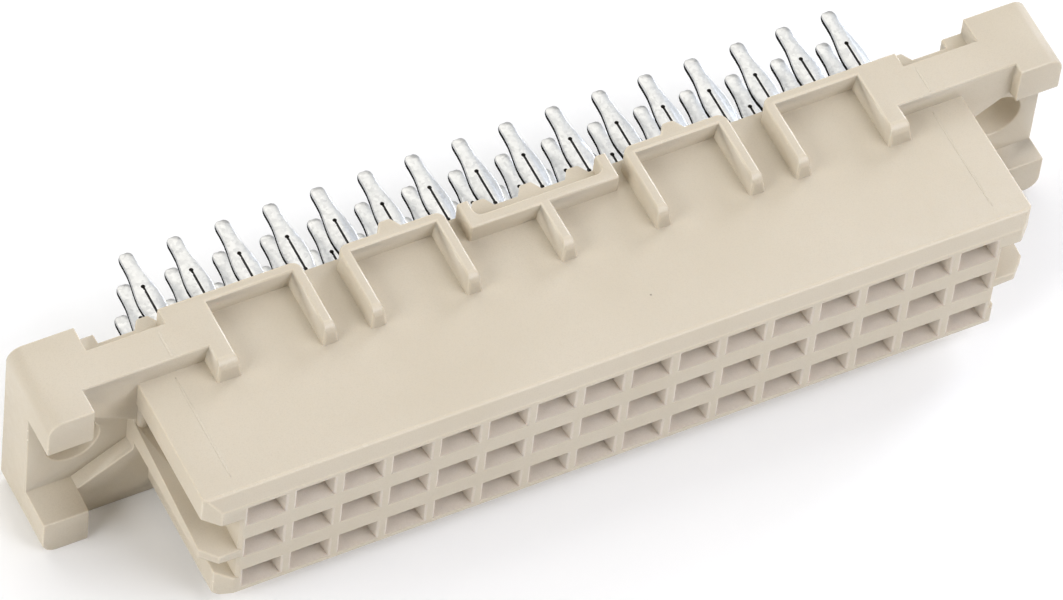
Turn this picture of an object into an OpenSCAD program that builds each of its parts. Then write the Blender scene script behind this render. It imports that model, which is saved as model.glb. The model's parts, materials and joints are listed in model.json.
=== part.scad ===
// Backplane connector: a moulded female body that holds three rows of press-fit contacts.
// It lies on its long side. X runs along the rows, the mating half comes in from -Y,
// the press-fit tails point to +Y and Z is the thickness.
// The origin is on the board plane, midway between the two screw holes.

/* [Contact grid] */
// Number of contact columns
columns = 16; // [14:2:18]
// Spacing of the contacts along a row
pitch = 2.54; // [2.5:0.02:2.7]
// Spacing of the three rows
row_pitch = 2.54; // [2.5:0.02:2.6]

/* [Mating block] */
// Distance from the mating face to the board
body_depth = 11.5; // [11:0.1:14]
// Thickness of the block
body_thickness = 8.2; // [8:0.1:9]
// Plastic past the centre of the outermost contact, at each end of the block
end_margin = 1.35; // [1.2:0.05:1.6]
// Bevel along the upper long front edge
front_bevel = 0.6; // [0.3:0.05:0.7]
// Bevel along the lower long front edge
lower_bevel = 0.52; // [0.3:0.02:0.6]
// Chamfer on the two short front edges of the block
end_chamfer = 0.15; // [0.1:0.05:0.2]

/* [Guide ends] */
// Reach of the upper wall and of the guide rail past the block
guide_reach = 1.75; // [1.2:0.05:2.2]
// Chamfer on the front corners of the upper wall, the guide rail and the lower wall
guide_chamfer = 0.75; // [0.3:0.05:1]
// Underside of the upper wall, above the middle row
upper_wall_floor = 2.45; // [2:0.05:2.8]
// Top of the guide rail at the mating face
rail_top_front = -0.1; // [-0.3:0.05:0.2]
// Top of the guide rail where it meets the flange
rail_top_rear = 0.85; // [0:0.05:1.2]
// Underside of the guide rail
rail_underside = -0.65; // [-1:0.05:-0.5]
// Top of the lower wall
lower_wall_top = -2.4; // [-2.8:0.05:-2]
// Reach of the lower wall past the block at the left end
lower_reach_left = 0.85; // [0.4:0.05:1.2]
// Reach of the lower wall past the block at the right end
lower_reach_right = 0.2; // [0.1:0.05:0.6]
// Radius of the small round pillar at the back of each guide slot
pillar_radius = 0.3; // [0.2:0.05:0.35]
// Distance from the end of the guide to that pillar's centre
pillar_inset = 0.4; // [0.4:0.05:0.8]

/* [Contact cavities] */
// Width of a cavity's mouth
mouth_width = 2.02; // [1.8:0.02:2.2]
// Height of a cavity's mouth
mouth_height = 1.47; // [1.3:0.01:1.7]
// Width of the slanted lip at each side of a mouth
lip_width = 0.1; // [0.06:0.01:0.12]
// Depth of that lip
lip_depth = 0.06; // [0.04:0.01:0.1]
// Depth of the lead-in funnel
funnel_depth = 0.85; // [0.5:0.05:1]
// Width of the opening behind the funnel
throat_width = 1.6; // [1.2:0.05:1.65]
// Height of the opening behind the funnel
throat_height = 0.95; // [0.7:0.05:1.2]
// Depth of the front wall, up to the spring chamber
entry_wall = 1.2; // [1.1:0.05:1.6]
// Width of the spring chamber
chamber_width = 1.7; // [1.7:0.02:1.8]
// Height of the spring chamber
chamber_height = 1.5; // [1.45:0.05:1.7]
// Depth of the step that a contact's plate is seated on
seat_depth = 9; // [8:0.1:9.4]
// Width of the passage that the springs enter by, from the rear
passage_width = 1.1; // [1:0.05:1.3]
// Height of that passage
passage_height = 1.4; // [1.35:0.05:1.44]

/* [Mounting flanges] */
// Distance from the outermost contact to the screw hole
screw_offset = 5.95; // [5.6:0.05:7]
// Diameter of the screw holes
screw_hole = 2.8; // [2.2:0.1:3]
// Plastic past the centre of a screw hole
flange_margin = 2.4; // [2.2:0.1:3]
// Thickness across both flange faces
flange_thickness = 10.4; // [10:0.1:12]
// Distance from the front of the cross bar to the board
flange_depth = 3.5; // [3.2:0.1:4.5]
// Radius of the flanges' outer edges
flange_edge_radius = 0.8; // [0.3:0.1:1]
// Depth of the pocket round a screw hole
pocket_depth = 0.8; // [0.4:0.05:1.2]
// Height of the pocket at the guide end
pocket_inner_height = 2.4; // [2:0.1:2.8]
// Height of the pocket between the two hooks
pocket_outer_height = 5.8; // [5:0.1:6.4]
// Width of the hooks above and below a pocket
hook_width = 2.4; // [1.8:0.1:2.6]
// Forward reach of the left hooks
hook_reach_left = 1.4; // [0.4:0.05:2]
// Forward reach of the right hooks
hook_reach_right = 0.6; // [0.4:0.05:2]
// Width of a flange's board pad on its two faces
pad_width = 3.5; // [2.8:0.1:3.8]
// Extra width of the board pad between the faces
pad_step = 1.05; // [0.4:0.05:1.2]
// Depth of the notch beside a board pad
notch_depth = 1.45; // [0.8:0.05:2]
// Distance from the outermost contact to that notch
notch_offset = 0.8; // [0.4:0.05:1.2]

/* [Ribs and rear rails] */
// Width of a rib, halfway up
rib_width = 0.7; // [0.5:0.02:0.8]
// Width of the rib beside each flange, halfway up
end_rib_width = 1.15; // [0.8:0.05:1.3]
// Lean of each side of a rib, from its foot to its top
rib_draft = 0.16; // [0.02:0.02:0.2]
// Forward reach of the ribs from the cross bar
rib_reach = 1.45; // [1:0.05:2.4]
// Slope of a rib's front end, from its foot to its top
rib_slope = 0.2; // [0.1:0.05:0.6]
// Thickness of a rear rail, and radius of its free corner
rail_wall = 0.5; // [0.35:0.05:0.8]
// Gap between the rear of the body and the board
standoff = 0.55; // [0.3:0.05:0.8]
// Width of a board nub at its root
nub_root = 1.27; // [1:0.01:1.6]
// Width of a board nub at the board
nub_top = 0.6; // [0.4:0.02:0.9]
// Height of the lower board nubs
nub_height = 0.8; // [0.5:0.05:1]
// Width of the bracket at the middle
bracket_width = 8; // [7:0.1:8.4]
// Wall of that bracket
bracket_wall = 0.6; // [0.4:0.05:0.8]
// Depth of that bracket
bracket_depth = 1.55; // [1.2:0.05:2]
// Radius of its inner corners
bracket_corner = 0.35; // [0.1:0.05:0.4]

/* [Contacts] */
// Thickness of the doubled contact strip
strip = 0.4; // [0.3:0.02:0.5]
// Width of the plate that holds a contact in the body
plate_width = 2; // [1.9:0.02:2.2]
// Distance of the plate below the rear of the body
plate_recess = 0.2; // [0:0.05:0.4]
// Reach of a tail past the board plane
tail_reach = 4.7; // [4:0.1:6]
// Width of a tail above its press-fit eye
tail_width = 0.75; // [0.6:0.05:0.9]
// Width across the press-fit eye
eye_width = 1.3; // [1.1:0.05:1.4]
// Distance from the board plane to the widest place of the eye
eye_centre = 1.45; // [1.2:0.05:1.8]
// Half the length of the eye
eye_half_length = 2.3; // [1.8:0.1:2.4]
// Width of the slot through the eye
slot_width = 0.12; // [0.1:0.02:0.2]
// Diameter of the round hole at each end of that slot
slot_hole = 0.22; // [0.2:0.02:0.3]
// Length of that slot
slot_length = 2.3; // [1.6:0.1:2.5]
// Width of the tip of a tail
tip_width = 0.36; // [0.2:0.02:0.4]
// Length of the rounded tip
tip_length = 0.4; // [0.2:0.05:0.8]
// Thickness of the tip
tip_thickness = 0.24; // [0.16:0.02:0.3]
// Width of the two springs
spring_width = 0.9; // [0.6:0.05:0.95]
// Gap between the springs where they grip
grip_gap = 0.36; // [0.2:0.02:0.5]
// Gap between the springs at their widest place
bow_gap = 0.8; // [0.6:0.02:0.9]
// Gap between the springs at their flared tips
flare_gap = 0.84; // [0.7:0.02:0.9]
// Depth of the spring tips behind the mating face
spring_tip_depth = 2; // [1.7:0.1:2.5]
// Distance from the spring tips to the grip
grip_distance = 1.4; // [1:0.1:2]
// Distance from the seat to the widest place of the springs
bow_distance = 2.2; // [1.5:0.1:3]

/* [Hidden] */
row_names = ["a", "b", "c"];
rows = len(row_names);
$fn = 48;
// Extra length of a cut past the face that it opens
past = 1;
// Overlap of pieces of the moulding that are made as one
bond = 0.45;
// Steps along one stretch of a spring, and along one side of an eye
spring_steps = 4;
eye_steps = 12;
// Steps round one side of a tip
tip_steps = 4;

mating_y = -body_depth;
bar_y = -flange_depth;
rear_y = -standoff;
rail_y = rear_y - rail_wall;
seat_y = mating_y + seat_depth;
plate_rear_y = rear_y - plate_recess;
half_body = body_thickness / 2;
half_flange = flange_thickness / 2;
field_x = (columns - 1) / 2 * pitch;
block_x = field_x + end_margin;
guide_x = block_x + guide_reach;
screw_x = field_x + screw_offset;
flange_x = screw_x + flange_margin;
pad_x = flange_x - pad_width;
notch_x = field_x + notch_offset;
// Ribs stand midway between columns, counted here in pitches from the middle
end_rib = columns / 2 - 1;
ribs = [end_rib - 5, end_rib - 3, end_rib - 2];
rails = [[end_rib - 5, end_rib - 3], [end_rib - 2, end_rib]];
end_rib_x = end_rib * pitch - rib_width / 2;
high_nub = end_rib - 4;
low_nubs = [-columns / 2, -1, 0, 1, columns / 2];

function column_x(column) = (column - (columns - 1) / 2) * pitch;
function row_z(row) = ((rows - 1) / 2 - row) * row_pitch;
function contact_name(row, column) = str("contact_", row_names[row], column + 1);
// Smooth step from 0 to 1
function ease(t) = (1 - cos(180 * t)) / 2;
function blend(from, to, t) = from + (to - from) * ease(t);

// Carries a profile drawn as (y, z) along X
module along_x(from, to) {
    translate([from, 0, 0])
        rotate([90, 0, 90])
            linear_extrude(to - from) children();
}

// Carries a profile drawn as (x, z) along Y
module along_y(from, to) {
    translate([0, to, 0])
        rotate([90, 0, 0])
            linear_extrude(to - from) children();
}

// Carries a profile drawn as (x, y) along Z
module along_z(from, to) {
    translate([0, 0, from])
        linear_extrude(to - from) children();
}

module at_both_ends() {
    children();
    mirror([1, 0, 0]) children();
}

module on_both_faces() {
    children();
    mirror([0, 0, 1]) children();
}

module rectangle(from, to) {
    translate(from) square(to - from);
}

// Plan of a wall that starts at the mating face, with its front corners cut off
module wall_plan(left, right, left_cut, right_cut) {
    polygon([
        [-left, bar_y + bond],
        [-left, mating_y + left_cut],
        [-left + left_cut, mating_y],
        [right - right_cut, mating_y],
        [right, mating_y + right_cut],
        [right, bar_y + bond]
    ]);
}

// Side view of the block with its bevelled long front edges
module block_side() {
    polygon([
        [mating_y, half_body - front_bevel],
        [mating_y + front_bevel, half_body],
        [rear_y, half_body],
        [rear_y, -half_body],
        [mating_y + lower_bevel, -half_body],
        [mating_y, -half_body + lower_bevel]
    ]);
}

// Side view of the guide rail, which climbs towards the flange
module guide_rail_side() {
    polygon([
        [mating_y, rail_underside],
        [mating_y, rail_top_front],
        [bar_y + bond, rail_top_rear],
        [bar_y + bond, rail_underside]
    ]);
}

// The block with its upper wall, guide rail and lower wall
module mating_block() {
    lower_left = block_x + lower_reach_left;
    lower_right = block_x + lower_reach_right;
    intersection() {
        along_x(-flange_x, flange_x) block_side();
        union() {
            along_z(-half_body, half_body)
                wall_plan(block_x, block_x, end_chamfer, end_chamfer);
            along_z(upper_wall_floor, half_body)
                wall_plan(guide_x, guide_x, guide_chamfer, guide_chamfer);
            along_z(-half_body, lower_wall_top)
                wall_plan(lower_left, lower_right, min(guide_chamfer, lower_reach_left),
                    min(guide_chamfer, lower_reach_right));
            intersection() {
                along_x(-guide_x, guide_x) guide_rail_side();
                along_z(-half_body, half_body)
                    wall_plan(guide_x, guide_x, guide_chamfer, guide_chamfer);
            }
            at_both_ends()
                translate([guide_x - pillar_inset, bar_y, rail_underside])
                    cylinder(r = pillar_radius, h = upper_wall_floor - rail_underside + bond);
        }
    }
}

// Front view of the flange plate, from the middle to its rounded outer edges
module flange_front() {
    rectangle([0, -half_flange], [flange_x - flange_edge_radius, half_flange]);
    rectangle([0, -half_flange + flange_edge_radius], [flange_x, half_flange - flange_edge_radius]);
    for (side = [-1, 1])
        translate([flange_x - flange_edge_radius, side * (half_flange - flange_edge_radius)])
            circle(flange_edge_radius);
}

// Front view of the pocket, which opens from the guide end to the hooks
module pocket_front() {
    inner = pocket_inner_height / 2;
    outer = pocket_outer_height / 2;
    hook_x = flange_x - hook_width;
    polygon([
        [guide_x, -inner],
        [hook_x, -outer],
        [flange_x + past, -outer],
        [flange_x + past, outer],
        [hook_x, outer],
        [guide_x, inner]
    ]);
}

// One flange with its cross bar, hooks, pocket, screw hole and board pad
module flange(hook_reach) {
    difference() {
        union() {
            along_y(bar_y, 0)
                intersection() {
                    flange_front();
                    rectangle([end_rib_x + rib_draft, -half_flange], [flange_x, half_flange]);
                }
            along_y(bar_y - hook_reach, bar_y + pocket_depth)
                intersection() {
                    flange_front();
                    rectangle([flange_x - hook_width, -half_flange], [flange_x, half_flange]);
                }
        }
        along_y(bar_y - hook_reach - past, bar_y + pocket_depth) pocket_front();
        translate([screw_x, past, 0])
            rotate([90, 0, 0])
                cylinder(d = screw_hole, h = flange_depth + 2 * past);
        along_y(rear_y, past)
            rectangle([0, -half_flange - past], [pad_x - pad_step, half_flange + past]);
        on_both_faces()
            along_z(half_body, half_flange + past)
                rectangle([notch_x, -notch_depth], [pad_x, past]);
    }
}

// Side view of a rib with its sloped front end
module rib_side(rear) {
    polygon([
        [bar_y - rib_reach, half_body],
        [bar_y - rib_reach + rib_slope, half_flange],
        [rear, half_flange],
        [rear, half_body - bond],
        [bar_y - rib_reach, half_body - bond]
    ]);
}

// How far a leaning side stands in from its place halfway up, at a height
function lean(z) = rib_draft * ((z - half_body) / (half_flange - half_body) - 1 / 2);

// Front view of a rib, narrower at its top
module rib_front(from, to) {
    low = half_body - bond;
    polygon([
        [from + lean(low), low],
        [from + lean(half_flange), half_flange],
        [to - lean(half_flange), half_flange],
        [to - lean(low), low]
    ]);
}

// One rib that stands on the long face, up to its rear end
module rib(from, to, rear) {
    intersection() {
        along_x(from - rib_width, to + rib_width) rib_side(rear);
        along_y(bar_y - rib_reach, rear) rib_front(from, to);
    }
}

// Plan of a rear rail, whose left end is a free round corner
module rail_plan(from, to) {
    rectangle([from + rail_wall, rail_y], [to, rear_y]);
    intersection() {
        translate([from + rail_wall, rail_y]) circle(rail_wall);
        rectangle([from, rail_y], [from + rail_wall, rear_y]);
    }
}

// Plan of a rear rail with both ends free
module free_rail_plan(from, to) {
    middle = (from + to) / 2;
    rail_plan(from, middle);
    translate([2 * middle, 0]) mirror([1, 0]) rail_plan(from, middle);
}

// Plan of a nub that reaches the board
module nub_plan(x) {
    polygon([
        [x - nub_root / 2, rail_y],
        [x - nub_root / 2, rear_y],
        [x - nub_top / 2, 0],
        [x + nub_top / 2, 0],
        [x + nub_root / 2, rear_y],
        [x + nub_root / 2, rail_y]
    ]);
}

// Plan of the bracket at the middle, open to the rear, with round inner corners
module bracket_plan() {
    half = bracket_width / 2;
    front = rear_y - bracket_depth;
    inner = half - bracket_wall;
    floor_y = front + bracket_wall;
    difference() {
        rectangle([-half, front], [half, rear_y]);
        rectangle([-inner, floor_y + bracket_corner], [inner, past]);
        rectangle([-inner + bracket_corner, floor_y], [inner - bracket_corner, past]);
        for (side = [-1, 1])
            translate([side * (inner - bracket_corner), floor_y + bracket_corner]) circle(bracket_corner);
    }
}

// Ribs, rails, bracket and nubs that stand on one long face
module face_ribs() {
    half_top = rib_width / 2 - lean(half_flange);
    at_both_ends() {
        for (place = ribs)
            rib(place * pitch - rib_width / 2, place * pitch + rib_width / 2, rail_y);
        rib(end_rib_x, end_rib_x + end_rib_width, rail_y);
        along_z(half_body - bond, half_flange) {
            free_rail_plan(rails[0][0] * pitch - half_top, rails[0][1] * pitch + half_top);
            rail_plan(rails[1][0] * pitch - half_top, rails[1][1] * pitch);
            nub_plan(high_nub * pitch);
        }
    }
    rib(-rib_width / 2, rib_width / 2, rear_y - bracket_depth + bracket_wall);
    along_z(half_body - bond, half_flange) bracket_plan();
    along_z(half_body - nub_height, half_body)
        for (nub = low_nubs) nub_plan(nub * pitch);
}

// Outline of a cavity along Y from its lip and half sizes at the mouth, throat, chamber and passage
function cavity_side(lip, mouth, throat, chamber, passage) = [
    [mating_y - past, mouth + lip],
    [mating_y, mouth + lip],
    [mating_y + lip_depth, mouth],
    [mating_y + funnel_depth, throat],
    [mating_y + entry_wall, throat],
    [mating_y + entry_wall, chamber],
    [seat_y, chamber],
    [seat_y, passage],
    [rear_y + past, passage]
];

// The outline and its mirror image, as one closed shape
function mirrored(side) = concat(
    side,
    [for (i = [len(side) - 1 : -1 : 0]) [side[i][0], -side[i][1]]]
);

// All cavities at once: the columns' plan met with the rows' side view
module cavities() {
    plan = mirrored(cavity_side(lip_width, mouth_width / 2, throat_width / 2, chamber_width / 2,
        passage_width / 2));
    side = mirrored(cavity_side(0, mouth_height / 2, throat_height / 2, chamber_height / 2,
        passage_height / 2));
    intersection() {
        along_z(-half_flange, half_flange)
            for (column = [0 : columns - 1])
                translate([column_x(column), 0])
                    polygon([for (point = plan) [point[1], point[0]]]);
        along_x(-flange_x, flange_x)
            for (row = [0 : rows - 1])
                translate([0, row_z(row)])
                    polygon(side);
    }
}

// Grooves that hold the plates of the contacts
module plate_grooves() {
    intersection() {
        along_z(-half_flange, half_flange)
            for (column = [0 : columns - 1])
                translate([column_x(column), 0])
                    rectangle([-plate_width / 2, seat_y], [plate_width / 2, rear_y + past]);
        along_x(-flange_x, flange_x)
            for (row = [0 : rows - 1])
                translate([0, row_z(row)])
                    rectangle([seat_y, -strip / 2], [rear_y + past, strip / 2]);
    }
}

// The moulded body, one piece
module housing() {
    color([0.87, 0.82, 0.73])
        difference() {
            union() {
                mating_block();
                along_y(bar_y, rear_y)
                    rectangle([-end_rib_x - bond, -half_body], [end_rib_x + bond, half_body]);
                flange(hook_reach_right);
                mirror([1, 0, 0]) flange(hook_reach_left);
                on_both_faces() face_ribs();
            }
            cavities();
            plate_grooves();
        }
}

// Half width of a tail at a distance past the board plane: a smooth swelling round the eye
function tail_half(y) =
    let (off = min(1, abs(y - eye_centre) / eye_half_length))
    blend(eye_width / 2, tail_width / 2, off);

// Half width of the round tip, from its shoulder at 0 to its end at 1
function tip_half(shoulder_half, t) = tip_width / 2 + (shoulder_half - tip_width / 2) * sqrt(1 - t * t);

// Plan of the plate and the tail, with the slot that lets the eye give way
module tail_plan() {
    start = plate_rear_y - bond;
    shoulder = tail_reach - tip_length;
    slot_end = (slot_length - slot_hole) / 2;
    side = concat(
        [for (i = [0 : eye_steps]) let (y = start + (shoulder - start) * i / eye_steps) [tail_half(y), y]],
        [for (i = [1 : tip_steps]) let (t = i / tip_steps)
            [tip_half(tail_half(shoulder), t), shoulder + tip_length * t]]
    );
    difference() {
        union() {
            rectangle([-plate_width / 2, seat_y], [plate_width / 2, plate_rear_y]);
            polygon(concat(side, [for (i = [len(side) - 1 : -1 : 0]) [-side[i][0], side[i][1]]]));
        }
        rectangle([-slot_width / 2, eye_centre - slot_end], [slot_width / 2, eye_centre + slot_end]);
        for (end = [-slot_end, slot_end])
            translate([0, eye_centre + end]) circle(d = slot_hole);
    }
}

// Side view of the plate and the tail, coined thinner at the tip
module tail_side() {
    polygon([
        [seat_y, -strip / 2],
        [seat_y, strip / 2],
        [tail_reach - tip_length, strip / 2],
        [tail_reach, tip_thickness / 2],
        [tail_reach, -tip_thickness / 2],
        [tail_reach - tip_length, -strip / 2]
    ]);
}

// Half gap between the springs along one stretch, from its start to its end
function spring_stretch(y_from, y_to, gap_from, gap_to) = [
    for (i = [1 : spring_steps])
        let (t = i / spring_steps)
        [y_from + (y_to - y_from) * t, blend(gap_from, gap_to, t) / 2]
];

// Side view of the two springs: they leave the plate, bow apart, grip and flare
module springs_side() {
    tip_y = mating_y + spring_tip_depth;
    grip_y = tip_y + grip_distance;
    bow_y = seat_y - bow_distance;
    inner = concat(
        [[seat_y, 0]],
        spring_stretch(seat_y, bow_y, 0, bow_gap),
        spring_stretch(bow_y, grip_y, bow_gap, grip_gap),
        spring_stretch(grip_y, tip_y, grip_gap, flare_gap)
    );
    outer = [for (point = inner) [point[0], point[1] + strip / 2]];
    upper = concat([[seat_y + bond, strip / 2]], outer, [for (i = [len(inner) - 1 : -1 : 0]) inner[i]]);
    polygon(concat(upper, [for (i = [len(upper) - 2 : -1 : 0]) [upper[i][0], -upper[i][1]]]));
}

// One contact, about its own place in the grid
module contact() {
    color([0.80, 0.81, 0.82]) {
        intersection() {
            along_z(-strip, strip) tail_plan();
            along_x(-plate_width, plate_width) tail_side();
        }
        along_x(-spring_width / 2, spring_width / 2) springs_side();
    }
}

housing();
for (row = [0 : rows - 1])
    for (column = [0 : columns - 1])
        translate([column_x(column), 0, row_z(row)]) contact();
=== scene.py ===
# %% [markdown]
# A backplane connector, dressed for its picture.
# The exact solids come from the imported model: one moulded body and 48 press-fit contacts.
# This lesson softens their edges as moulding and stamping do, gives them their plastic and
# tin finishes, adds the fine lines that the mould leaves, and lights the scene.
# Lengths are written in millimetres and multiplied by MM, because Blender works in metres.

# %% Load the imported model
import json

import bmesh
import bpy
import numpy as np
from mathutils import Matrix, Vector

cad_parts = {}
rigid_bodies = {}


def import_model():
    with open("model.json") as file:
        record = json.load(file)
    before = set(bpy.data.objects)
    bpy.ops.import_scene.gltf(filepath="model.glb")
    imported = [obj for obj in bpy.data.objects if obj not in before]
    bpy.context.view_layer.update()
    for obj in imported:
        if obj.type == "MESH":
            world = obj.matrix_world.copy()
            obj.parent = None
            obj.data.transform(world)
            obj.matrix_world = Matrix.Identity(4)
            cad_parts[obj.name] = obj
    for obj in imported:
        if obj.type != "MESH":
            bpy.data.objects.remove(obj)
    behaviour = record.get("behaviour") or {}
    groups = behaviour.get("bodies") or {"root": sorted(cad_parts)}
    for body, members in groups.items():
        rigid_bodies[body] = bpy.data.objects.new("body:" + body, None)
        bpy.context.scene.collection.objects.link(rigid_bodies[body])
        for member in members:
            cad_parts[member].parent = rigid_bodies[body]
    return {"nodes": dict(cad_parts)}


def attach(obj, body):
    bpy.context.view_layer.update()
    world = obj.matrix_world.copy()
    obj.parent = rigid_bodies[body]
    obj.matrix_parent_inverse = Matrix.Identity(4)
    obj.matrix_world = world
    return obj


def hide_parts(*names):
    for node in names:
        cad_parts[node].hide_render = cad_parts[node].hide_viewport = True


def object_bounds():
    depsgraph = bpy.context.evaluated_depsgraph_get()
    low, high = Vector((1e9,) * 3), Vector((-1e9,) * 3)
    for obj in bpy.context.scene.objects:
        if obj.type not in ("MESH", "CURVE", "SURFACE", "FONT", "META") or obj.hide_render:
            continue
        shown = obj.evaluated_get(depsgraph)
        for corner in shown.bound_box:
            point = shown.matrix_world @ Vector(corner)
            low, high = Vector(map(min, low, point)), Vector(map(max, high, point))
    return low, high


MM = 0.001

for leftover in list(bpy.data.objects):
    bpy.data.objects.remove(leftover)

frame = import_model()
cad_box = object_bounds()


def in_mm(box):
    """The two corners of a box in metres as short lists of millimetres, for printing."""
    return [(np.array(corner) / MM).round(2).tolist() for corner in box]


print("nodes:", len(frame["nodes"]), "box in mm:", in_mm(cad_box))

# %% [markdown]
# The camera comes first, so that each piece can be judged from the picture's own angle.
# A long lens far away gives the nearly parallel lines of a product picture. The place, the
# point it aims at and the small roll were worked out from the corners of the body. A Track To
# constraint could aim the camera too, but it knows no roll, so the matrix is written out.

# %% Camera
CAMERA_EYE = np.array([-130.4, -208.42, 325.74])
CAMERA_AIM = np.array([-1.15, -3.79, 0.0])
CAMERA_ROLL = np.radians(7.48)
CAMERA_LENS = 284.3
SENSOR_WIDTH = 36.0
SIGHT_FROM = 10.0
SIGHT_TO = 20000.0


def unit(vector):
    """The vector divided by its length."""
    return vector / np.linalg.norm(vector)


def facing_matrix(eye, aim, roll):
    """Columns right, up, back and place of something at eye that looks at aim.

    Back is the direction from aim to eye. Right is level, and then turned about back by the roll.
    """
    back = unit(eye - aim)
    level = unit(np.cross([0.0, 0.0, 1.0], back))
    steep = np.cross(back, level)
    right = np.cos(roll) * level + np.sin(roll) * steep
    matrix = np.identity(4)
    matrix[:3, 0] = right
    matrix[:3, 1] = np.cross(back, right)
    matrix[:3, 2] = back
    matrix[:3, 3] = eye * MM
    return Matrix(matrix.tolist())


camera_data = bpy.data.cameras.new("picture_camera")
camera_data.lens = CAMERA_LENS
camera_data.sensor_width = SENSOR_WIDTH
camera_data.sensor_fit = "HORIZONTAL"
camera_data.clip_start = SIGHT_FROM * MM
camera_data.clip_end = SIGHT_TO * MM
camera = bpy.data.objects.new("picture_camera", camera_data)
bpy.context.scene.collection.objects.link(camera)
camera.matrix_world = facing_matrix(CAMERA_EYE, CAMERA_AIM, CAMERA_ROLL)
bpy.context.scene.camera = camera
print("camera at", CAMERA_EYE, "mm, lens", CAMERA_LENS, "mm")

# %% [markdown]
# The part lies on a pale table. One flat grid is enough, as long as it runs far past the view.
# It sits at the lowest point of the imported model, so the part rests on it.

# %% Floor
FLOOR_REACH = 3000.0
FLOOR_POINTS = 3


def mesh_from_grid(name, points):
    """A mesh of quads from a grid of points, shaped (rows, columns, 3), in millimetres."""
    rows, columns = points.shape[:2]
    corner = np.arange(rows * columns).reshape(rows, columns)
    quads = np.stack([corner[:-1, :-1], corner[:-1, 1:], corner[1:, 1:], corner[1:, :-1]], axis=-1)
    mesh = bpy.data.meshes.new(name)
    mesh.from_pydata((points.reshape(-1, 3) * MM).tolist(), [], quads.reshape(-1, 4).tolist())
    return mesh


def new_object(name, mesh):
    """Links a mesh to the scene as an object that sits at the origin."""
    piece = bpy.data.objects.new(name, mesh)
    bpy.context.scene.collection.objects.link(piece)
    return piece


floor_line = np.linspace(-FLOOR_REACH, FLOOR_REACH, FLOOR_POINTS)
floor_y, floor_x = np.meshgrid(floor_line, floor_line, indexing="ij")
floor_z = np.full_like(floor_x, cad_box[0].z / MM)
floor_grid = np.stack([floor_x, floor_y, floor_z], axis=-1)
floor = new_object("table_top", mesh_from_grid("table_top", floor_grid))
print("floor at z =", round(cad_box[0].z / MM, 2), "mm")

# %% [markdown]
# A finish is a small tree of nodes. These helpers name the few steps that every finish here
# needs. The first ones start a tree and read patterns in the part's own coordinates: a noise, and
# a cell texture. Object coordinates keep a pattern fixed to its piece and at one scale in metres.

# %% Patterns for finishes
def new_finish(name):
    """A new material, with its node tree, its shader and the place on the piece."""
    finish = bpy.data.materials.new(name)
    finish.use_nodes = True
    tree = finish.node_tree
    shader = tree.nodes["Principled BSDF"]
    place = tree.nodes.new("ShaderNodeTexCoord").outputs["Object"]
    return finish, tree, shader, place


def noise(tree, place, size, detail=2.0):
    """The value of a noise whose blots are about that size, in millimetres."""
    node = tree.nodes.new("ShaderNodeTexNoise")
    node.inputs["Scale"].default_value = 1.0 / (size * MM)
    node.inputs["Detail"].default_value = detail
    tree.links.new(place, node.inputs["Vector"])
    return node.outputs["Fac"]


def cells(tree, place, size):
    """A lot from 0 to 1 drawn for each cell of that size, and the distance from the cell's centre."""
    node = tree.nodes.new("ShaderNodeTexVoronoi")
    node.inputs["Scale"].default_value = 1.0 / (size * MM)
    tree.links.new(place, node.inputs["Vector"])
    lots = tree.nodes.new("ShaderNodeSeparateColor")
    tree.links.new(node.outputs["Color"], lots.inputs["Color"])
    return lots.outputs["Red"], node.outputs["Distance"]


def coordinate(tree, vector, letter):
    """The X, Y or Z of a vector."""
    node = tree.nodes.new("ShaderNodeSeparateXYZ")
    tree.links.new(vector, node.inputs["Vector"])
    return node.outputs[letter]


print("patterns: noise, cells, coordinate")

# %% [markdown]
# The other helpers work on what the patterns give: a change of range, a mix of colours, a step of
# arithmetic, and a relief. The relief is a Bump node, which only tilts the shading: it suits a
# grain of a few thousandths of a millimetre, and anything larger is modelled.

# %% Steps for finishes
def ranged(tree, value, low, high, new_low, new_high):
    """The value moved from one range to another, and held within it."""
    node = tree.nodes.new("ShaderNodeMapRange")
    numbers = {"From Min": low, "From Max": high, "To Min": new_low, "To Max": new_high}
    for socket, number in numbers.items():
        node.inputs[socket].default_value = number
    tree.links.new(value, node.inputs["Value"])
    return node.outputs["Result"]


def mixed(tree, factor, first, second):
    """A colour between two, each a colour or a socket, by a factor from 0 to 1."""
    node = tree.nodes.new("ShaderNodeMix")
    node.data_type = "RGBA"
    tree.links.new(factor, node.inputs["Factor"])
    for socket, colour in (("A_Color", first), ("B_Color", second)):
        target = [s for s in node.inputs if s.identifier == socket][0]
        if isinstance(colour, tuple):
            target.default_value = (*colour, 1.0)
        else:
            tree.links.new(colour, target)
    return [s for s in node.outputs if s.identifier == "Result_Color"][0]


def arithmetic(tree, operation, first, second=0.0):
    """One step of arithmetic on a socket and, where it takes two, a number or another socket."""
    node = tree.nodes.new("ShaderNodeMath")
    node.operation = operation
    tree.links.new(first, node.inputs[0])
    if isinstance(second, float):
        node.inputs[1].default_value = second
    else:
        tree.links.new(second, node.inputs[1])
    return node.outputs["Value"]


def bumped(tree, shader, height, depth):
    """Gives the shader a relief of that depth, in millimetres, by a height from 0 to 1."""
    node = tree.nodes.new("ShaderNodeBump")
    node.inputs["Distance"].default_value = depth * MM
    tree.links.new(height, node.inputs["Height"])
    tree.links.new(node.outputs["Normal"], shader.inputs["Normal"])


print("steps: ranged, mixed, arithmetic, bumped")

# %% [markdown]
# The table is matt and nearly white. A very faint noise keeps it from being one flat tone, and a
# little light of its own, as a light table gives, lifts the shadows round the part. Most values
# of a noise lie in its middle, so that middle is spread over the two tones.

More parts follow.
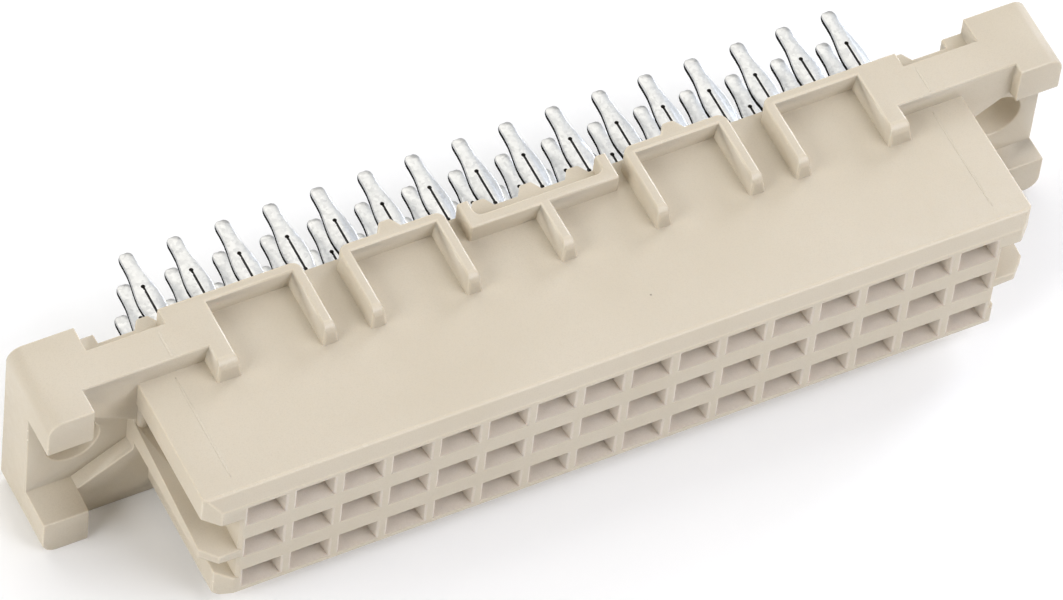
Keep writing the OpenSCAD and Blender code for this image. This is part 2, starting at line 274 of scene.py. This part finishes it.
# %% Table finish
NOISE_MIDDLE = (0.3, 0.7)
TABLE_GREY = (0.94, 0.94, 0.94)
TABLE_WHITE = (0.96, 0.96, 0.96)
TABLE_CLOUD = 60.0
TABLE_ROUGHNESS = 0.9
TABLE_SPECULAR = 0.1
TABLE_GLOW = 0.05

table_finish, tree, shader, place = new_finish("matt_table")
table_cloud = ranged(tree, noise(tree, place, TABLE_CLOUD), *NOISE_MIDDLE, 0.0, 1.0)
table_colour = mixed(tree, table_cloud, TABLE_GREY, TABLE_WHITE)
tree.links.new(table_colour, shader.inputs["Base Color"])
shader.inputs["Roughness"].default_value = TABLE_ROUGHNESS
shader.inputs["Specular IOR Level"].default_value = TABLE_SPECULAR
shader.inputs["Emission Color"].default_value = (1.0, 1.0, 1.0, 1.0)
shader.inputs["Emission Strength"].default_value = TABLE_GLOW
floor.data.materials.append(table_finish)
print("finish:", table_finish.name)

# %% [markdown]
# The body is glass-filled polyester, moulded in beige. A few dark specks of burnt resin lie in it.
# They could be small pieces, but they are flush with the skin, so the finish draws them: they are
# the centres of a few cells of a cell texture, so that each is round and stands alone.

# %% Burnt specks
BURNT = (0.10, 0.07, 0.05)
BURNT_SHARE = 0.8
SPECK_CELL = 3.2
SPECK_LOT = 0.82
SPECK_RIM = (0.014, 0.026)


def specks(tree, place):
    """The share of burnt resin: high near the centres of the cells whose lot is above SPECK_LOT."""
    lot, distance = cells(tree, place, SPECK_CELL)
    chosen = arithmetic(tree, "GREATER_THAN", lot, SPECK_LOT)
    return arithmetic(tree, "MULTIPLY", chosen, ranged(tree, distance, *SPECK_RIM, BURNT_SHARE, 0.0))


print("one cell of", SPECK_CELL, "mm in about", round(1 / (1 - SPECK_LOT)), "has a speck")

# %% [markdown]
# Up close the colour of the plastic drifts a little where the melt flowed, and its skin has a fine
# grain from the spark-eroded mould. A painted picture could give that, but noises need no file,
# have no seam and stay sharp at any size. Three sizes are used: clouds, blots and a grain. A little
# light passes through the skin, which a small subsurface scale gives.

# %% Moulded plastic
BEIGE = (0.630, 0.560, 0.447)
BEIGE_FLOW = (0.607, 0.536, 0.421)
BEIGE_GRAIN = (0.563, 0.493, 0.386)
FLOW_SIZE = 6.0
FLOW_DETAIL = 3.0
FLOW_MIDDLE = (0.35, 0.65)
BLOT_SIZE = 0.5
GRAIN_SIZE = 0.06
GRAIN_DETAIL = 1.0
GRAIN_UPPER = (0.45, 0.75)
GRAIN_SHARE = 0.55
GRAIN_RELIEF = 0.6
SKIN_RELIEF = 0.006
SKIN_SPECULAR = 0.4
SKIN_GLOW = 0.12
SKIN_GLOW_TINT = (1.0, 0.75, 0.5)
SKIN_GLOW_DEPTH = 0.35


def polyester(name, lift, gloss):
    """The beige plastic, with its colours times lift and its roughness between the two of gloss.

    The lift is one number, or one each for red, green and blue.
    """
    finish, tree, shader, place = new_finish(name)
    base, drift, fine = (tuple(lift * np.array(c)) for c in (BEIGE, BEIGE_FLOW, BEIGE_GRAIN))
    flow = ranged(tree, noise(tree, place, FLOW_SIZE, FLOW_DETAIL), *FLOW_MIDDLE, 0.0, 1.0)
    blots = noise(tree, place, BLOT_SIZE)
    grain = noise(tree, place, GRAIN_SIZE, GRAIN_DETAIL)
    tone = mixed(tree, flow, base, drift)
    tone = mixed(tree, ranged(tree, grain, *GRAIN_UPPER, 0.0, GRAIN_SHARE), tone, fine)
    tone = mixed(tree, specks(tree, place), tone, BURNT)
    tree.links.new(tone, shader.inputs["Base Color"])
    tree.links.new(ranged(tree, blots, *NOISE_MIDDLE, *gloss), shader.inputs["Roughness"])
    shader.inputs["Specular IOR Level"].default_value = SKIN_SPECULAR
    shader.inputs["Subsurface Weight"].default_value = SKIN_GLOW
    shader.inputs["Subsurface Radius"].default_value = SKIN_GLOW_TINT
    shader.inputs["Subsurface Scale"].default_value = SKIN_GLOW_DEPTH * MM
    relief = arithmetic(tree, "ADD", arithmetic(tree, "MULTIPLY", grain, GRAIN_RELIEF), blots)
    bumped(tree, shader, relief, SKIN_RELIEF)
    print("finish:", name, "nodes:", len(tree.nodes))
    return finish


print("plastic tones:", BEIGE, BEIGE_FLOW, BEIGE_GRAIN)

# %% [markdown]
# The same plastic doesn't look the same everywhere. On outer edges it is glossier, where resin
# collects, and it is painted a little paler there as a painted highlight along each edge; so is the
# thin flash of a mould line. In the funnels of the sockets the skin is rougher where the glass shows
# through, and they are painted paler and greyer: painted light, in place of the light that the
# funnel walls shade off. One function with a lift and a gloss makes all four, so their patterns
# run on from one to the next.

# %% Four finishes of the plastic
FACE_LIFT = 1.0
FACE_GLOSS = (0.46, 0.60)
# The edge lift pales the rounded outer edges: a painted highlight along each edge.
EDGE_HIGHLIGHT_LIFT = 1.11
EDGE_GLOSS = (0.23, 0.28)
# The flash lift pales the mould line on the cross bar: a painted highlight.
FLASH_HIGHLIGHT_LIFT = 1.16
# The funnel lift pales and greys the funnel walls: painted light where the walls shade the funnels.
FUNNEL_PAINTED_LIGHT_LIFT = (1.12, 1.13, 1.22)
FUNNEL_GLOSS = (0.60, 0.75)

plastic = polyester("moulded_polyester", FACE_LIFT, FACE_GLOSS)
plastic_edge_highlight = polyester("polyester_painted_edge_highlight", EDGE_HIGHLIGHT_LIFT, EDGE_GLOSS)
plastic_flash_highlight = polyester("polyester_painted_flash_highlight", FLASH_HIGHLIGHT_LIFT, EDGE_GLOSS)
plastic_funnel_painted_light = polyester("polyester_funnels_painted_light", FUNNEL_PAINTED_LIGHT_LIFT, FUNNEL_GLOSS)

# %% [markdown]
# The contacts are stamped from bronze strip and plated with tin. A punch leaves the lower part of
# each sheared side torn and rough, and that part is painted near black: partly the torn zone, and
# partly a painted dark reflection that draws a dark line along each tail. The torn part could be a
# face of its own, but it has no edge to cut along, so the finish finds it. The surface normal tells
# the sides, which face along X, from the broad faces, and the height within a row tells their lower
# part: the remainder of the height divided by the pitch is alike in all three rows.

# %% Torn sides, with a painted dark reflection
PITCH = 2.54
ROW_SHIFT = 2.5
TORN_AND_REFLECTION_HEIGHT = 0.12
TORN_AND_REFLECTION_FADE = 0.02
SIDE_FACING = (0.3, 0.6)


# The share marks the lower sides that are painted near black: torn zone and painted dark reflection.
def torn_and_reflection_share(tree, place):
    """1 on the lower part of a sheared side, and 0 elsewhere.

    With a normal n and a height z, it is 1 where n.x squared is high and where the remainder of
    z / pitch + 2.5 is low. The 2.5 keeps the sum above 0 and puts a row's middle at a half.
    """
    normal = tree.nodes.new("ShaderNodeNewGeometry").outputs["Normal"]
    squared = arithmetic(tree, "POWER", coordinate(tree, normal, "X"), 2.0)
    side = ranged(tree, squared, *SIDE_FACING, 0.0, 1.0)
    rows = arithmetic(tree, "MULTIPLY", coordinate(tree, place, "Z"), 1.0 / (PITCH * MM))
    in_row = arithmetic(tree, "FRACT", arithmetic(tree, "ADD", rows, ROW_SHIFT))
    top = 0.5 + TORN_AND_REFLECTION_HEIGHT / PITCH
    low_part = ranged(tree, in_row, top - TORN_AND_REFLECTION_FADE / PITCH, top, 1.0, 0.0)
    return arithmetic(tree, "MULTIPLY", side, low_part)


print("torn up to", TORN_AND_REFLECTION_HEIGHT, "mm above the middle of a tail")

# %% [markdown]
# The broad faces are bright, with the faint patchwork of tin crystals: each cell of a cell texture
# is a crystal with its own tone and gloss, and a noise adds the streaks of rolling. Where a side
# is torn, the finish turns from metal to a dull black, which is partly the torn zone and partly a
# painted dark reflection.

# %% Tin
TIN = (0.76, 0.77, 0.775)
TIN_DULL = (0.63, 0.64, 0.645)
TIN_MIDDLE = (0.1, 0.6)
TIN_GLOSS = (0.32, 0.40)
TIN_SPECULAR = 0.5
TIN_RELIEF = 0.0015
CRYSTAL = 0.16
STREAK_SIZE = 0.3
STREAK_DETAIL = 3.0
# Near black for the lower sides: the torn zone and a painted dark reflection.
TORN_AND_DARK_REFLECTION = (0.02, 0.02, 0.02)
TORN_ROUGHNESS = 0.3

tin, tree, shader, place = new_finish("tinned_bronze")
crystal, _ = cells(tree, place, CRYSTAL)
streaks = noise(tree, place, STREAK_SIZE, STREAK_DETAIL)
dullness = ranged(tree, arithmetic(tree, "MULTIPLY", crystal, streaks), *TIN_MIDDLE, 0.0, 1.0)
torn_and_reflection = torn_and_reflection_share(tree, place)
metal = mixed(tree, dullness, TIN, TIN_DULL)
tree.links.new(mixed(tree, torn_and_reflection, metal, TORN_AND_DARK_REFLECTION), shader.inputs["Base Color"])
plated = ranged(tree, torn_and_reflection, 0.0, 1.0, 1.0, 0.0)
tree.links.new(plated, shader.inputs["Metallic"])
specular = arithmetic(tree, "MULTIPLY", plated, TIN_SPECULAR)
tree.links.new(specular, shader.inputs["Specular IOR Level"])
tin_roughness = ranged(tree, crystal, 0.0, 1.0, *TIN_GLOSS)
torn_roughness = arithmetic(tree, "MULTIPLY", torn_and_reflection, TORN_ROUGHNESS)
roughness = arithmetic(tree, "ADD", tin_roughness, torn_roughness)
tree.links.new(roughness, shader.inputs["Roughness"])
bumped(tree, shader, streaks, TIN_RELIEF)
print("finish:", tin.name, "nodes:", len(tree.nodes))

# %% [markdown]
# The walls of the narrow slot in a tail's eye are bare bronze, painted near black: painted shade
# of so deep and narrow a slot. They are whole faces of the mesh, so they get a finish of their own,
# with a stain that varies its gloss.

# %% Bare bronze with painted slot shade
# Near black for the slot walls: painted shade.
SLOT_PAINTED_SHADE = (0.030, 0.024, 0.020)
STAIN_SIZE = 0.08
STAIN_GLOSS = (0.45, 0.75)

slot_painted_shade, tree, shader, place = new_finish("bronze_painted_slot_shade")
stain = ranged(tree, noise(tree, place, STAIN_SIZE), *NOISE_MIDDLE, *STAIN_GLOSS)
tree.links.new(stain, shader.inputs["Roughness"])
shader.inputs["Base Color"].default_value = (*SLOT_PAINTED_SHADE, 1.0)
print("finish:", slot_painted_shade.name, "nodes:", len(tree.nodes))

# %% [markdown]
# No moulded or stamped edge is quite sharp. The pieces could be modelled again with soft edges,
# but then they would drift from the solids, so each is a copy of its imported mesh, and only its
# edges change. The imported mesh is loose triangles: the copy is merged, and its flat triangles are
# dissolved into whole faces, because a bevel needs real edges.

# %% Merged copies
MERGE_DISTANCE = 0.002
FLAT_TURN = 0.02


def merged_copy(node, name):
    """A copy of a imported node's mesh, with doubles merged and flat triangles made whole faces."""
    shape = bmesh.new()
    shape.from_mesh(frame["nodes"][node].data)
    bmesh.ops.remove_doubles(shape, verts=shape.verts, dist=MERGE_DISTANCE * MM)
    bmesh.ops.dissolve_limit(shape, angle_limit=FLAT_TURN, verts=shape.verts, edges=shape.edges)
    mesh = bpy.data.meshes.new(name)
    shape.to_mesh(mesh)
    shape.free()
    return mesh


def read(items, field, width=1, kind=np.int32):
    """One field of a list of mesh items as an array, with width numbers for each item."""
    values = np.empty(len(items) * width, kind)
    items.foreach_get(field, values)
    return values.reshape(-1, width) if width > 1 else values


def face_centres(mesh):
    """The centre of each face, in millimetres."""
    return read(mesh.polygons, "center", 3, np.float32) / MM


print("copies merge points within", MERGE_DISTANCE, "mm")

# %% [markdown]
# How much an edge is rounded depends on two facts: where it lies, and how far the surface turns
# over it. The turn is above 0 on an outer edge and below 0 in an inner corner. Edges could be
# picked by hand in edit mode, but a rule still holds when the solids change, and numpy works it
# out for all edges at once.

# %% Facts about edges
def corners(mesh):
    """For each corner of each face: its point, its edge, its face and that face's next corner."""
    totals = read(mesh.polygons, "loop_total")
    starts = read(mesh.polygons, "loop_start")
    point = read(mesh.loops, "vertex_index")
    edge = read(mesh.loops, "edge_index")
    face = np.repeat(np.arange(len(totals)), totals)
    following = np.arange(len(point)) + 1
    following[starts + totals - 1] = starts
    return point, edge, face, following


def edge_facts(mesh):
    """Each edge's middle in millimetres, and the angle that the surface turns over it.

    An edge of a closed mesh lies in two faces. With their normals n and m, and the edge's
    direction d in the first face, the turn's sine is (n x m) . d and its cosine is n . m.
    """
    points = read(mesh.vertices, "co", 3, np.float32) / MM
    normals = read(mesh.polygons, "normal", 3, np.float32)
    point, edge, face, following = corners(mesh)
    first, second = np.argsort(edge, kind="stable").reshape(-1, 2).T
    start = points[point[first]]
    end = points[point[following[first]]]
    direction = (end - start) / np.linalg.norm(end - start, axis=1, keepdims=True)
    n = normals[face[first]]
    m = normals[face[second]]
    turn = np.arctan2((np.cross(n, m) * direction).sum(1), (n * m).sum(1))
    return (start + end) / 2, turn


print("edge facts: middle and turn")

# %% [markdown]
# A Bevel modifier has one width, but a weight on each edge scales it. So the largest rounding is
# the width, and every other one is a share of it. Edges that turn and stay unrounded are marked
# sharp, which keeps the smooth shading from running over them.

# %% Soft edges
BEVEL_STEPS = 2


def soften(piece, rounding, turn, least_turn):
    """Rounds each edge of a piece by its rounding in millimetres, and returns the modifier.

    The width is the largest rounding, and an edge's weight is its own rounding divided by that.
    """
    mesh = piece.data
    width = rounding.max()
    weights = mesh.attributes.new("bevel_weight_edge", "FLOAT", "EDGE")
    weights.data.foreach_set("value", (rounding / width).astype(np.float32))
    creases = mesh.attributes.new("sharp_edge", "BOOLEAN", "EDGE")
    creases.data.foreach_set("value", (np.abs(turn) > least_turn) & (rounding == 0))
    mesh.polygons.foreach_set("use_smooth", np.ones(len(mesh.polygons), bool))
    bevel = piece.modifiers.new("soft edges", "BEVEL")
    bevel.limit_method = "WEIGHT"
    bevel.width = width * MM
    bevel.segments = BEVEL_STEPS
    bevel.use_clamp_overlap = False
    bevel.harden_normals = True
    return bevel


print("bevels have", BEVEL_STEPS, "steps")

# %% [markdown]
# The rules for the body need its main places. The mating face and the tops of the cross bars are
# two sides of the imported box, and the others are sizes of the body. Both ends of the body are
# alike, and so are both faces, so a distance from the middle serves for both.

# %% Places on the body
MATING_Y = cad_box[0].y / MM
BAR_Z = cad_box[1].z / MM
REAR_Y = -0.55
FACE_Z = 4.1
SOCKETS_X = 20.3
SOCKETS_Z = 3.4
NEAR = 0.05


def between(values, span):
    """Which values lie between the two ends of a span."""
    return (values > span[0]) & (values < span[1])


def from_middle(places):
    """The distance from the middle along X, the place along Y, and the distance along Z."""
    return np.abs(places[:, 0]), places[:, 1], np.abs(places[:, 2])


print("mating face at y =", round(MATING_Y, 2), "mm, bars up to z =", round(BAR_Z, 2), "mm")

# %% [markdown]
# The body's outer edges are rounded by about a tenth of a millimetre, as the mould's corners are.
# The thin ends of the guides get half as much, the ribs get more, and the tops of their noses the
# most. Inner corners stay sharp. So do edges in the sockets and in places too fine for a rounding:
# the thin wall past the last sockets, the rear edge of both faces along the rails, and the ends of
# the bracket.

# %% Rounding of the body
RIBS_X = 18.7
RIB_NOSE_Y = -4.6
RIB_NOSE_FOOT = 0.1
END_WALL_X = (19.9, 20.7)
END_WALL_DEPTH = 0.5
RAILS_X = 14.0
RAILS_DEPTH = 0.46
BRACKET_ENDS_X = (3.3, 4.1)
GUIDE_X = 22.15
GUIDE_Z = 3.0
ROUND_EDGE = 0.08
ROUND_RIB = 0.11
ROUND_NOSE_SIDE = 0.135
ROUND_NOSE_TOP = 0.45
ROUND_GUIDE_END = 0.04
BODY_TURN = np.radians(25)


def body_rounding(middle, turn):
    """Each edge's rounding in millimetres, by where it lies and how far the surface turns.

    It starts as ROUND_EDGE, is set for the ribs, their noses and the guides, and is 0 in the
    places that stay sharp and wherever the surface doesn't turn outwards by BODY_TURN.
    """
    x, y, z = from_middle(middle)
    ribs = (x < RIBS_X) & (z > FACE_Z - NEAR)
    noses = ribs & (y < RIB_NOSE_Y)
    rounding = np.full(len(turn), ROUND_EDGE)
    rounding[ribs] = ROUND_RIB
    rounding[noses & (z > FACE_Z + RIB_NOSE_FOOT)] = ROUND_NOSE_SIDE
    rounding[noses & (z > BAR_Z - NEAR)] = ROUND_NOSE_TOP
    sockets = (x < SOCKETS_X) & (z < SOCKETS_Z)
    end_wall = between(x, END_WALL_X) & (y < MATING_Y + END_WALL_DEPTH)
    rear_edge = (x < RAILS_X) & (y > REAR_Y - RAILS_DEPTH) & (np.abs(z - FACE_Z) < NEAR)
    bracket_ends = between(x, BRACKET_ENDS_X) & (y > REAR_Y - NEAR)
    rounding[sockets | end_wall | rear_edge | bracket_ends] = 0.0
    rounding[(np.abs(x - GUIDE_X) < NEAR) & (z < GUIDE_Z)] = ROUND_GUIDE_END
    rounding[turn < BODY_TURN] = 0.0
    return rounding


print("roundings in mm:", ROUND_EDGE, ROUND_RIB, ROUND_NOSE_SIDE, ROUND_NOSE_TOP, ROUND_GUIDE_END)

# %% [markdown]
# The body is one moulding, so it is one piece. It has three finishes: one for its faces, one that
# the modifier puts on the rounded edges, paler as a painted highlight, and one for the funnels,
# paler and greyer as painted light. The funnels could be pieces of their own, but then a seam would
# show round each mouth, so their faces are found by their place.

# %% Moulded body
FUNNEL_DEPTH = 0.85
FACES, PAINTED_EDGE_HIGHLIGHT, PAINTED_FUNNEL_LIGHT = 0, 1, 2


def funnel_painted_light_faces(mesh):
    """For each face the number of its finish: PAINTED_FUNNEL_LIGHT for the walls of the funnels, else FACES."""
    x, y, z = from_middle(face_centres(mesh))
    inside = between(y, (MATING_Y + NEAR / 2, MATING_Y + FUNNEL_DEPTH))
    return np.where(inside & (x < SOCKETS_X) & (z < SOCKETS_Z), PAINTED_FUNNEL_LIGHT, FACES).astype(np.int32)


body = new_object("moulded_body", merged_copy("housing", "moulded_body"))
body_middle, body_turn = edge_facts(body.data)
body_round = body_rounding(body_middle, body_turn)
body_bevel = soften(body, body_round, body_turn, BODY_TURN)
for finish in (plastic, plastic_edge_highlight, plastic_funnel_painted_light):
    body.data.materials.append(finish)
# The funnel walls get the paler funnel finish: painted light.
body.data.polygons.foreach_set("material_index", funnel_painted_light_faces(body.data))
# The rounded edges get the paler edge finish: a painted highlight.
body_bevel.material = PAINTED_EDGE_HIGHLIGHT
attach(body, "root")
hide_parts("housing")
print("body faces:", len(body.data.polygons), "rounded edges:", int((body_round > 0).sum()))

# %% [markdown]
# A stamped tail has a roll-over along its edges, and tin flows round what is left of the corner.
# The part outside the body gets that rounding. The edges of the slot in its eye stay sharp, because
# rounding would widen so fine a slot, and the springs inside the body stay as they are.

# %% Rounding of a tail
TAIL_ROUNDING = 0.045
TAIL_START_Y = -0.7
TAIL_TURN = np.radians(40)
SLOT_HALF = 0.16
SLOT_Y = (0.2, 2.7)


def in_slot(places):
    """Which of a contact's places, in millimetres, lie at the slot in its eye."""
    x, y = places[:, 0], places[:, 1]
    off = np.abs(x - (x.min() + x.max()) / 2)
    return (off < SLOT_HALF) & between(y, SLOT_Y)


def tail_rounding(middle, turn):
    """Rounding on the outer edges of a tail, and none at its slot or inside the body."""
    rounded = (middle[:, 1] > TAIL_START_Y) & (turn > TAIL_TURN) & ~in_slot(middle)
    return np.where(rounded, TAIL_ROUNDING, 0.0)


print("tails are rounded by", TAIL_ROUNDING, "mm")

# %% [markdown]
# One soft contact could be placed 48 times, but each piece here stands for its own imported node, so
# each is a copy of that node, and a loop makes them all. A contact is tin all over, apart from the
# walls of its slot, which are painted near black as shade.

# %% Press-fit contacts
UPRIGHT = 0.5


def slot_walls(mesh):
    """1 for the upright faces of the slot and 0 for all others, as numbers of the two finishes."""
    upright = np.abs(read(mesh.polygons, "normal", 3, np.float32)[:, 2]) < UPRIGHT
    return (upright & in_slot(face_centres(mesh))).astype(np.int32)


contact_nodes = sorted(name for name in frame["nodes"] if name.startswith("contact_"))
for node in contact_nodes:
    tail = new_object("soft_" + node, merged_copy(node, "soft_" + node))
    tail_middle, tail_turn = edge_facts(tail.data)
    soften(tail, tail_rounding(tail_middle, tail_turn), tail_turn, TAIL_TURN)
    tail.data.materials.append(tin)
    tail.data.materials.append(slot_painted_shade)
    tail.data.polygons.foreach_set("material_index", slot_walls(tail.data))
    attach(tail, "root")
    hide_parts(node)
print("contacts:", len(contact_nodes), "faces each:", len(tail.data.polygons))

# %% [markdown]
# Where two parts of the mould close, a hair of plastic runs into the gap and leaves a line. A bump
# could draw it, but then it would be missing from the mesh. So it is a low ridge: a flattened tube,
# half sunk in the face, whose two radii shrink to nothing at its ends.

# %% Ridge of flash
LINE_HALF_WIDTH = 0.06
LINE_HEIGHT = 0.002
LINE_STEPS = 33
LINE_SIDES = 9
SEAM = 0.0005


def ridge(x, y_from, y_to, z):
    """A ridge along Y: the points (x + a r cos v, y(u), z + b r sin v), with half width a and height b.

    The share r = (1 - (2u - 1)^6)^(1/2) is 1 along most of the ridge and closes its ends.
    """
    u = np.linspace(0.0, 1.0, LINE_STEPS)[:, None]
    v = np.linspace(0.0, 2 * np.pi, LINE_SIDES)[None, :]
    r = np.sqrt(np.clip(1 - (2 * u - 1) ** 6, 0, 1))
    points_x = x + LINE_HALF_WIDTH * r * np.cos(v)
    points_y = y_from + (y_to - y_from) * u + 0 * v
    points_z = z + LINE_HEIGHT * r * np.sin(v)
    return np.stack([points_x, points_y, points_z], axis=-1)


def closed(mesh):
    """Merges the seam and the poles of a grid that closes on itself, and turns its faces outwards."""
    shape = bmesh.new()
    shape.from_mesh(mesh)
    bmesh.ops.remove_doubles(shape, verts=shape.verts, dist=SEAM * MM)
    bmesh.ops.recalc_face_normals(shape, faces=shape.faces)
    shape.to_mesh(mesh)
    shape.free()
    mesh.polygons.foreach_set("use_smooth", np.ones(len(mesh.polygons), bool))
    return mesh


print("a mould line stands", LINE_HEIGHT, "mm proud")

# %% [markdown]
# On the real body such a line crosses the wall and the cross bar near each end. The two ends are
# alike, so a loop over the ends and the two parts of the line makes all four.

# %% Mould lines
BAR_Y = -3.5
LINE_X = 20.35
WALL_LINE_Y = (MATING_Y + 1.4, BAR_Y - 0.3)
BAR_LINE_Y = (BAR_Y + 0.1, -1.75)
# The wall's line wears the paler edge finish and the bar's line the paler flash finish: both a painted
# highlight.
LINES = {
    "wall": (*WALL_LINE_Y, FACE_Z, plastic_edge_highlight),
    "bar": (*BAR_LINE_Y, BAR_Z, plastic_flash_highlight),
}

for end, sign in (("left", -1), ("right", 1)):
    for part, (y_from, y_to, z, finish) in LINES.items():
        name = f"mould_line_{end}_{part}"
        line = new_object(name, closed(mesh_from_grid(name, ridge(sign * LINE_X, y_from, y_to, z))))
        line.data.materials.append(finish)
        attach(line, "root")
        print(name, "faces:", len(line.data.polygons))

# %% [markdown]
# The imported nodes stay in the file, hidden behind the pieces that stand for them. They get the
# same finishes, so that nothing in the file is left unpainted.

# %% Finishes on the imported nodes
for node, thing in frame["nodes"].items():
    thing.data.materials.clear()
    thing.data.materials.append(plastic if node == "housing" else tin)
print("painted nodes:", len(frame["nodes"]))

# %% [markdown]
# The light is that of a small product table in a dark room. The largest softbox stands high behind
# the part: it lights the tops, and the tin mirrors it. A second one, at the front right, lights
# the mating face and reaches into the sockets. A low one at the left keeps the end faces as bright
# as the tops, and a small one at the right draws a thin line of light along the edges there. Each
# is placed by its turn from +X and its climb above the table, in degrees. A point lamp would be
# simpler, but its shadows are hard and tin shows it as a dot.

# %% Light
SOFTBOX_DISTANCE = 700.0
SOFTBOXES = {
    "back_softbox": dict(
        turn=90.0, climb=50.0, side=800.0, glow=1.36, tint=(1.03, 1.0, 0.94)),
    "front_softbox": dict(
        turn=313.0, climb=43.0, side=560.0, glow=3.8, tint=(0.99, 1.0, 1.06)),
    "left_softbox": dict(
        turn=187.0, climb=28.0, side=480.0, glow=4.6, tint=(1.0, 1.0, 1.0)),
    "right_softbox": dict(
        turn=30.0, climb=20.0, side=260.0, glow=10.0, tint=(0.95, 1.0, 1.1)),
}


def softbox(name, turn, climb, side, glow, tint):
    """A square area light that faces the origin, with a power of pi times its area times its glow."""
    turn, climb = np.radians(turn), np.radians(climb)
    level = np.cos(climb)
    toward = np.array([level * np.cos(turn), level * np.sin(turn), np.sin(climb)])
    data = bpy.data.lights.new(name, "AREA")
    data.shape = "SQUARE"
    data.size = side * MM
    data.energy = np.pi * (side * MM) ** 2 * glow
    data.color = tint
    lamp = bpy.data.objects.new(name, data)
    bpy.context.scene.collection.objects.link(lamp)
    lamp.matrix_world = facing_matrix(SOFTBOX_DISTANCE * toward, np.zeros(3), 0.0)
    return lamp


for name, facts in SOFTBOXES.items():
    lamp = softbox(name, **facts)
    print(name, "power:", round(lamp.data.energy, 3), "W")

# %% [markdown]
# The room itself gives next to no light, so that the softboxes shape the part. The Standard view
# shows colours as they are worked out, without the film-like curve that Blender starts with, so
# the beige and the white table keep their tones.

# %% Room
ROOM_GLOW = 0.02

world = bpy.data.worlds.new("dim_room")
world.use_nodes = True
background = world.node_tree.nodes["Background"]
background.inputs["Color"].default_value = (1.0, 1.0, 1.0, 1.0)
background.inputs["Strength"].default_value = ROOM_GLOW
bpy.context.scene.world = world
bpy.context.scene.view_settings.view_transform = "Standard"
print("room glow:", ROOM_GLOW)
